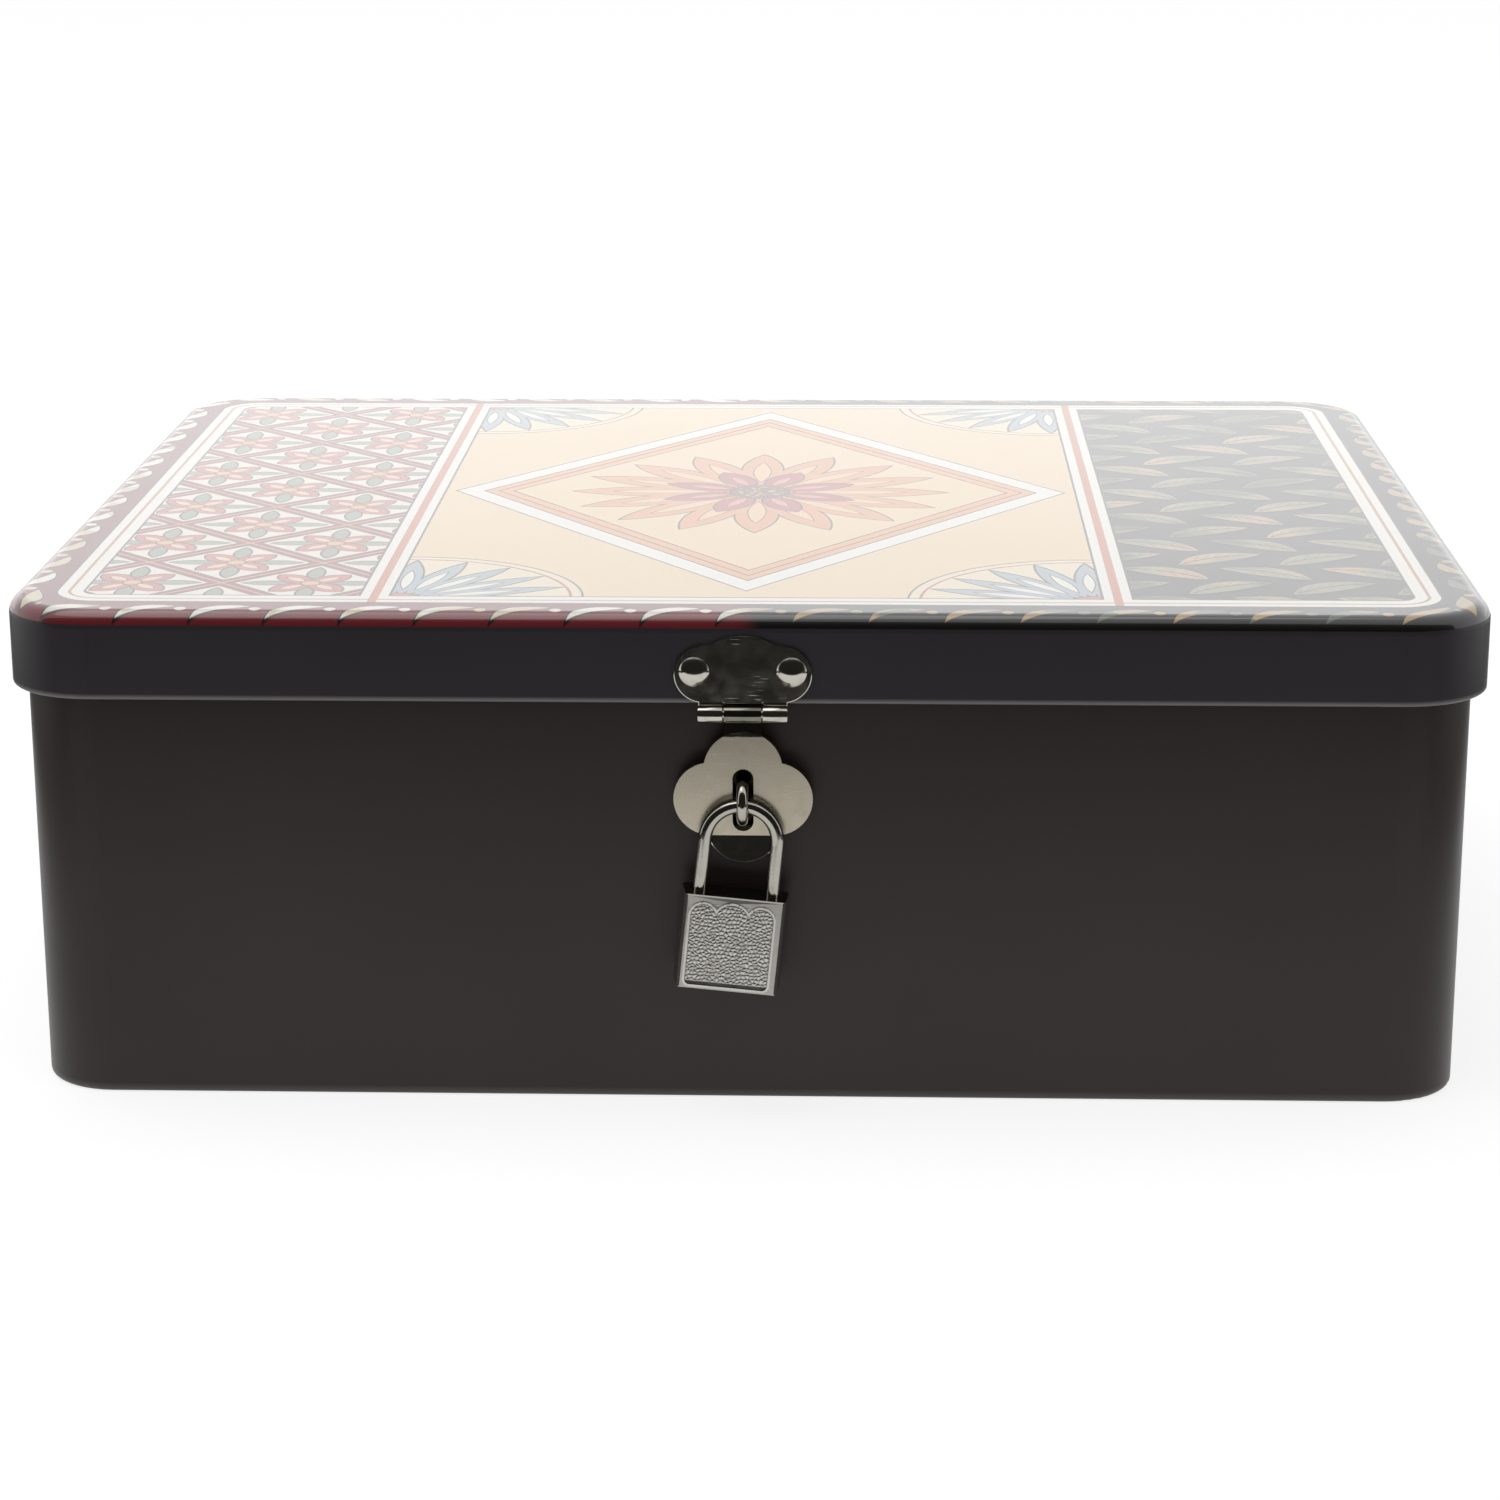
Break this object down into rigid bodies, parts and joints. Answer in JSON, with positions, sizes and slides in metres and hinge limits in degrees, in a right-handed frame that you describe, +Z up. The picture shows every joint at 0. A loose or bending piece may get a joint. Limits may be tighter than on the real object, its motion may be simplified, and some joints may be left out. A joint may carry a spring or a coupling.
{
  "type": "deed box",
  "caption": "Rectangular painted tinplate box with a hinged printed lid, a lobed hasp, a wire staple and a small padlock.",
  "frame": {"origin": "on the floor, under the middle of the whole object's box", "axes": "+X along the box's long side, to the right of someone who faces the hasp; +Y towards the rear hinges; +Z up"},
  "size_m": [0.3, 0.249, 0.103],
  "materials": {
    "tin_paint": "satin stoved enamel, brown-black",
    "lid_print": null,
    "nickel_plate": "polished nickel plate with light wear",
    "shackle_steel": "polished plated steel wire",
    "padlock_metal": "matt grey plated casting with a pebbled panel",
    "plug_metal": "turned, dull",
    "spring_steel": "plain steel"
  },
  "bodies": {
    "base": {"base_wall": "tin_paint", "base_bottom": "tin_paint", "staple_plate": "nickel_plate", "staple": "nickel_plate", "staple_rivet_left": "nickel_plate", "staple_rivet_right": "nickel_plate", "hinge_left_base_leaf": "nickel_plate", "hinge_left_pin": "nickel_plate", "hinge_left_base_rivet_outer": "nickel_plate", "hinge_left_base_rivet_inner": "nickel_plate", "hinge_right_base_leaf": "nickel_plate", "hinge_right_pin": "nickel_plate", "hinge_right_base_rivet_outer": "nickel_plate", "hinge_right_base_rivet_inner": "nickel_plate"},
    "lid": {"lid_shell": "lid_print", "hasp_plate": "nickel_plate", "hasp_rivet_left": "nickel_plate", "hasp_rivet_right": "nickel_plate", "hasp_pin": "nickel_plate", "hinge_left_lid_leaf": "nickel_plate", "hinge_left_lid_rivet_outer": "nickel_plate", "hinge_left_lid_rivet_inner": "nickel_plate", "hinge_right_lid_leaf": "nickel_plate", "hinge_right_lid_rivet_outer": "nickel_plate", "hinge_right_lid_rivet_inner": "nickel_plate"},
    "flap": {"hasp_flap": "nickel_plate"},
    "shackle": {"shackle": "shackle_steel"},
    "padlock_case": {"padlock_case_front": "padlock_metal", "padlock_case_back": "padlock_metal", "latch_spring": "spring_steel", "heel_spring": "spring_steel", "retaining_pin": "spring_steel", "padlock_rivet_left": "padlock_metal", "padlock_rivet_right": "padlock_metal", "padlock_rivet_upper": "padlock_metal"},
    "plug": {"padlock_plug": "plug_metal"},
    "latch": {"padlock_latch": "spring_steel"}
  },
  "joints": [
    {"name": "lid_hinge", "type": "hinge", "parent": "base", "child": "lid", "pos_m": [0, 0.12275, 0.0833], "axis": [-1, 0, 0], "range_deg": [0, 180]},
    {"name": "flap_hinge", "type": "hinge", "parent": "lid", "child": "flap", "pos_m": [0, -0.11675, 0.0833], "axis": [-1, 0, 0], "range_deg": [0, 170]},
    {"name": "padlock_swing", "type": "hinge", "parent": "base", "child": "shackle", "pos_m": [0.0004, -0.11848, 0.06473], "axis": [-1, 0, 0], "range_deg": [-2, 80]},
    {"name": "shackle_release", "type": "slide", "parent": "shackle", "child": "padlock_case", "axis": [-0.1011, -0.0347, -0.9943], "range_m": [0, 0.005], "deforming": ["heel_spring"]},
    {"name": "key_turn", "type": "hinge", "parent": "padlock_case", "child": "plug", "pos_m": [-0.00095, -0.11958, 0.03171], "axis": [0.1011, 0.0347, 0.9943], "range_deg": [0, 90]},
    {"name": "latch_slide", "type": "slide", "parent": "padlock_case", "child": "latch", "axis": [-0.9945, -0.0226, 0.1019], "range_m": [0, 0.0024], "deforming": ["latch_spring"]}
  ],
  "couplings": [
    {"joint": "key_turn", "follows": "shackle_release", "rad_per_m": 314.16},
    {"joint": "latch_slide", "follows": "shackle_release", "ratio": 0.48}
  ]
}
